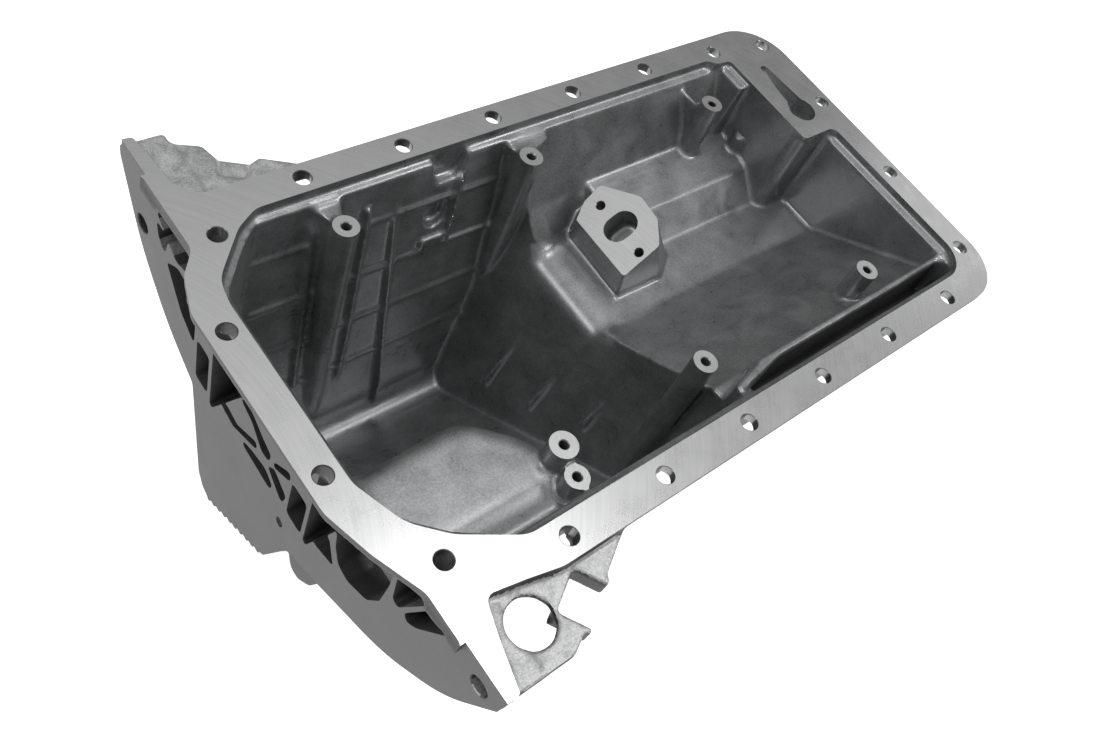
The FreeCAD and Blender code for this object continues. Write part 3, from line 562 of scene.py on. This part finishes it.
class OILPAN_OT_casting(bpy.types.Operator):
    """Round the cast edges, keep the machined faces sharp and give both their finish"""

    bl_idname = "oilpan.casting"
    bl_label = "Dress the casting"

    def execute(self, context):
        settings = context.scene.oilpan_casting
        voxel = settings.voxel / MM
        radii = (settings.inner_round / MM, settings.outer_round / MM)
        points, triangles = mesh_arrays(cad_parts["oil_pan"])
        self.add_stock(points)
        low = tuple(int(v) for v in np.floor(points.min(axis=0) / voxel) - GRID_MARGIN)
        high = np.ceil(points.max(axis=0) / voxel) + GRID_MARGIN
        shape = tuple(int(b - a) for a, b in zip(low, high))
        field = rounded_field(points, triangles, radii, voxel, low, shape)
        crisp = rounded_field(points, triangles, CRISP_RADII, voxel, low, shape)
        field += self.crisp_share(voxel, low, shape) * (crisp - field)
        del crisp
        self.soften(field, low, voxel, HUMP_BOX, HUMP_BLUR, SUMP_BOSSES)
        self.soften(field, low, voxel, CREST_BOX, CREST_BLUR, [])
        grid = openvdb.FloatGrid(GRID_REACH * voxel)
        grid.copyFromArray(field, ijk=low)
        grid.transform = openvdb.createLinearTransform(voxelSize=voxel)
        points, triangles, quads = grid.convertToPolygons(isovalue=0.0, adaptivity=0.0)
        faces = triangles.tolist() + quads.tolist()
        piece = new_object("pan_casting", (points * MM).tolist(), faces)
        count = len(triangles) + 2 * len(quads)
        apply_modifier(piece, "DECIMATE", ratio=SKIN_TRIANGLES / count)
        self.machine(piece)
        self.paint(piece)
        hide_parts("oil_pan")
        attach(piece, "root")
        return {"FINISHED"}

    def add_stock(self, points):
        """Move the corners of the machined faces outwards by the stock that is cut off later."""
        x, y, z = points.T.copy()
        rear = (abs(x - RING_FACE) < ON_FACE) & (
            (z < RING_TOP) | (y > FAR_WING - 1) | (y < NEAR_WING + 0.5))
        top = z > -ON_FACE
        pad = (abs(pad_height(x, z)) < NEAR_FACE) & in_plan(x, y, PAD_PLAN)
        points[rear, 0] -= FACE_STOCK
        points[top, 2] += FACE_STOCK
        points[pad] += np.array(PAD_NORMAL, np.float32) * BOSS_STOCK
        for bx, by, bz, radius in BOSSES:
            near = (np.hypot(x - bx, y - by) < radius + 0.5) & (abs(z - bz) < ON_FACE)
            points[near, 2] += BOSS_STOCK

    def crisp_share(self, voxel, low, shape):
        """1 at the grid points where the casting has its small radii, 0 elsewhere."""
        gx, gy, gz = grid_axes(low, shape, voxel, np.float32)
        back = RING_FACE + BAND_DEPTH + BAND_GROWTH * np.clip((BAND_TOP - gz) / BAND_HEIGHT, 0, 1)
        on_wing = (gy < WING_SPAN[0]) | (gy > WING_SPAN[1])
        back = np.maximum(back, np.where(on_wing, WING_BACK, -CUT_LENGTH))
        fin_top = FIN_LOW + (FIN_SIDE - gy) * FIN_RISE + FIN_ROOT
        share = ramp(back - gx, CRISP_FADE)
        for depth in (abs(gy) - WING_SIDE, fin_top - gz, gz + RAIL_EDGE):
            share = np.maximum(share, ramp(depth, CRISP_FADE))
        return share

    def soften(self, field, low, voxel, box, radius, posts):
        """Blur the surfaces inside a box, radius in millimetres, but not round the posts."""
        part = tuple(
            slice(int(a / voxel) - k, int(b / voxel) - k) for a, b, k in zip(*box, low))
        counts = [p.stop - p.start for p in part]
        axes = grid_axes([k + p.start for k, p in zip(low, part)], counts, voxel, int)
        share = np.ones(counts, np.float32)
        for g, a, b in zip(axes, *box):
            share = share * np.clip(np.minimum(g - a, b - g) / BOX_FADE, 0, 1).astype(np.float32)
        for bx, by, bz, size in posts:
            away = np.hypot(axes[0] - bx, axes[1] - by) - size - 1
            share = share * np.clip(away / BOSS_FADE, 0, 1).astype(np.float32)
        # Upper and lower side of the wall one by one, so that it keeps its thickness
        columns = field[part[0], part[1]]
        upper = np.minimum.accumulate(columns[:, :, ::-1], axis=2)[:, :, ::-1][:, :, part[2]]
        lower = np.minimum.accumulate(columns, axis=2)[:, :, part[2]]
        soft = np.maximum(*(
            smoothed(np.clip(side, -BLUR_LIMIT, BLUR_LIMIT), radius / voxel)
            for side in (upper, lower)))
        field[part] += share * (soft - field[part])

    def machine(self, piece):
        """Cut the machined faces and then the screw holes."""
        outside = RING_FACE - CUT_HEIGHT
        band_low, band_high = WING_BAND
        gasket = ((-CUT_LENGTH, -CUT_WIDTH, 0), (CUT_LENGTH, CUT_WIDTH, CUT_HEIGHT))
        ring = ((outside, -CUT_WIDTH, -CUT_LENGTH), (RING_FACE, CUT_WIDTH, RAIL_BOTTOM))
        far = ((outside, FAR_WING, band_low), (RING_FACE, CUT_WIDTH, band_high))
        near = ((outside, -CUT_WIDTH, band_low), (RING_FACE, NEAR_WING, band_high))
        for boxes in ((gasket,), (ring,), (far, near)):
            faces = Cutter()
            for low, high in boxes:
                faces.box(low, high)
            faces.cut(piece)
        tops = Cutter()
        for bx, by, bz, radius in BOSSES:
            tops.disc((bx, by, bz), UP, radius + 1, BOSS_CUT)
        tops.cut(piece)
        pad = Cutter()
        pad.disc(pad_point(*PAD_MIDDLE), PAD_NORMAL, PAD_REACH, PAD_CUT)
        pad.cut(piece)
        holes = Cutter()
        for hx, hy in RAIL_HOLES:
            holes.hole((hx, hy, 0), UP, *RAIL_DRILL)
        for boss in BOSSES:
            holes.hole(boss[:3], UP, *BOSS_DRILL)
        for hy, hz in HOUSING_HOLES:
            holes.hole((RING_FACE, hy, hz), REARWARD, *HOUSING_DRILL)
        for along, across in PAD_HOLES:
            holes.hole(pad_point(along, across), PAD_NORMAL, *PAD_DRILL)
        holes.cut(piece)

    def inner_faces(self, piece, centres, normals):
        """Tell which faces can be seen from above the middle of the open side."""
        tree = BVHTree.FromObject(piece, bpy.context.evaluated_depsgraph_get())
        flags = np.zeros(len(centres), bool)
        for k, (centre, normal) in enumerate(zip(centres.tolist(), normals.tolist())):
            start = Vector(centre) + LOOK_START * Vector(normal)
            flags[k] = any(tree.ray_cast(start, goal - start)[0] is None for goal in LOOKOUTS)
        return flags

    def paint(self, piece):
        """Give each face the finish that its side of the casting has."""
        mesh = piece.data
        mesh.materials.clear()
        for finish in (
            cast_aluminium, milled_aluminium, machined_aluminium_painted_shade, blasted_aluminium, outer_aluminium,
        ):
            mesh.materials.append(finish())
        count = len(mesh.polygons)
        centre = np.zeros(count * 3, np.float32)
        normal = np.zeros(count * 3, np.float32)
        mesh.polygons.foreach_get("center", centre)
        mesh.polygons.foreach_get("normal", normal)
        centre = centre.reshape(-1, 3)
        normal = normal.reshape(-1, 3)
        x, y, z = centre.T * 1000
        nx, _, nz = normal.T
        inner = (abs(y) < WALL_SIDE) & (x > RING_FACE) & (x < FRONT_WALL)
        inner &= self.inner_faces(piece, centre, normal)
        milled = (abs(z) < NEAR_FACE) & (nz > LEVEL)
        for bx, by, bz, radius in BOSSES:
            on_boss = np.hypot(x - bx, y - by) < radius + 1
            milled |= (abs(z - bz) < NEAR_FACE) & (nz > LEVEL) & on_boss
        on_pad = (abs(pad_height(x, z)) < PAD_FACE_FIT) & in_plan(x, y, PAD_FACE)
        milled |= on_pad & (nx < -0.5)
        # The bell housing face takes a darker copy of the machined finish: painted shade of the
        # upright face
        ring_face_painted_shade = (abs(x - RING_FACE) < NEAR_FACE) & (nx < -LEVEL)
        lowest, highest = BLASTED_HEIGHTS
        on_wing = (x < BLASTED_END) & (abs(y) > WALL_SIDE)
        blasted = on_wing & (z > lowest) & (z < highest) & (nz > 0.6)
        kind = np.select([milled, ring_face_painted_shade, blasted, inner], [1, 2, 3, 0], 4)
        mesh.polygons.foreach_set("material_index", kind.astype(np.int32))
        mesh.polygons.foreach_set("use_smooth", np.ones(count, bool))
        mesh.set_sharp_from_angle(angle=SHARP_ANGLE)
        mesh.update()


class OILPAN_OT_drain(bpy.types.Operator):
    """Give the drain plug and its crush ring their finish"""

    bl_idname = "oilpan.drain"
    bl_label = "Finish the drain plug"

    def execute(self, context):
        for node, material in (("drain_plug", zinc_steel()), ("plug_washer", soft_aluminium())):
            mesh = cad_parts[node].data
            mesh.materials.clear()
            mesh.materials.append(material)
        return {"FINISHED"}


class OILPAN_OT_stage(bpy.types.Operator):
    """Set up the floor, the room, the soft lights and the camera"""

    bl_idname = "oilpan.stage"
    bl_label = "Set the stage"

    def execute(self, context):
        settings = context.scene.oilpan_stage
        self.lay_floor(settings)
        self.light_room(context.scene, settings)
        self.softbox("over_softbox", (6, 77), (0.35, 0.45), settings.over_power)
        self.softbox("front_softbox", (6, 27), (0.35, 0.35), settings.front_power)
        self.softbox("side_softbox", (-42, 42), (0.3, 0.6), settings.side_power)
        self.softbox("rear_softbox", (160, 38), (0.3, 0.6), settings.rear_power)
        self.place_camera(context.scene)
        context.scene.view_settings.view_transform = "Standard"
        return {"FINISHED"}

    def lay_floor(self, settings):
        """White acrylic lit from below, on which the object has hardly a shadow."""
        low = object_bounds()[0][2]
        half = FLOOR_HALF
        floor = new_object(
            "studio_floor",
            [(-half, -half, low), (half, -half, low), (half, half, low), (-half, half, low)],
            [(0, 1, 2, 3)])
        # Opal acrylic: a matt, even white that gives light of its own
        material, tree = new_material("acrylic_white_backlit")
        shader = add_node(
            tree, "ShaderNodeBsdfPrincipled",
            inputs={"Base Color": (*settings.floor_colour, 1), "Roughness": 0.9,
                    "Emission Color": (1, 1, 1, 1), "Emission Strength": settings.floor_glow})
        add_node(tree, "ShaderNodeOutputMaterial", links={"Surface": shader.outputs["BSDF"]})
        floor.data.materials.append(material)
        floor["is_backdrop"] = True

    def light_room(self, scene, settings):
        """Room that is bright overhead and dim near the horizon."""
        world = bpy.data.worlds.new("studio_room")
        world.use_nodes = True
        tree = world.node_tree
        tree.nodes.clear()
        place = add_node(tree, "ShaderNodeTexCoord").outputs["Generated"]
        height = add_node(tree, "ShaderNodeSeparateXYZ", links={"Vector": place}).outputs["Z"]
        glow = add_node(tree, "ShaderNodeValToRGB", links={"Fac": height})
        stops = glow.color_ramp.elements
        while len(stops) < len(ROOM_LEVELS):
            stops.new(0.5)
        for stop, (spot, level) in zip(stops, ROOM_LEVELS):
            stop.position = spot
            stop.color = (level, level, level, 1)
        back = add_node(
            tree, "ShaderNodeBackground", inputs={"Strength": settings.sky},
            links={"Color": glow.outputs["Color"]})
        add_node(
            tree, "ShaderNodeOutputWorld", links={"Surface": back.outputs["Background"]})
        scene.world = world

    def softbox(self, name, aim, size, power):
        """Rectangular light seen from the object at an azimuth and height in degrees."""
        lamp = bpy.data.lights.new(name, "AREA")
        lamp.shape = "RECTANGLE"
        lamp.size, lamp.size_y = size
        lamp.energy = power
        box = bpy.data.objects.new(name, lamp)
        turn, rise = (math.radians(v) for v in aim)
        box.location = LIGHT_DISTANCE * Vector((
            math.cos(rise) * math.cos(turn), math.cos(rise) * math.sin(turn), math.sin(rise)))
        box.rotation_euler = box.location.to_track_quat("Z", "Y").to_euler()
        bpy.context.scene.collection.objects.link(box)

    def place_camera(self, scene):
        camera = bpy.data.cameras.new("camera")
        camera.sensor_fit = "HORIZONTAL"
        camera.sensor_width = SENSOR
        camera.lens = SENSOR * FOCAL_PIXELS / PHOTO_WIDTH
        camera.clip_start = 0.02
        camera.clip_end = 50.0
        holder = bpy.data.objects.new("camera", camera)
        turn = Matrix(CAMERA_AXES).transposed()
        holder.matrix_world = Matrix.Translation(CAMERA_PLACE) @ turn.to_4x4()
        scene.collection.objects.link(holder)
        scene.camera = holder


class OILPAN_PT_panel(bpy.types.Panel):
    """Sidebar panel of the oil pan"""

    bl_idname = "OILPAN_PT_panel"
    bl_label = "Oil pan"
    bl_space_type = "VIEW_3D"
    bl_region_type = "UI"
    bl_category = "Oil pan"

    def draw(self, context):
        layout = self.layout
        for group in (context.scene.oilpan_casting, context.scene.oilpan_stage):
            for name in group.__annotations__:
                layout.prop(group, name)
        for operator in (OILPAN_OT_casting, OILPAN_OT_drain, OILPAN_OT_stage):
            layout.operator(operator.bl_idname)


CLASSES = (
    CastingSettings, StageSettings,
    OILPAN_OT_casting, OILPAN_OT_drain, OILPAN_OT_stage, OILPAN_PT_panel,
)


def register():
    for item in CLASSES:
        bpy.utils.register_class(item)
    bpy.types.Scene.oilpan_casting = PointerProperty(type=CastingSettings)
    bpy.types.Scene.oilpan_stage = PointerProperty(type=StageSettings)


def unregister():
    del bpy.types.Scene.oilpan_casting
    del bpy.types.Scene.oilpan_stage
    for item in reversed(CLASSES):
        bpy.utils.unregister_class(item)


def main():
    register()
    bpy.ops.oilpan.casting()
    bpy.ops.oilpan.drain()
    bpy.ops.oilpan.stage()


if __name__ == "__main__":
    main()
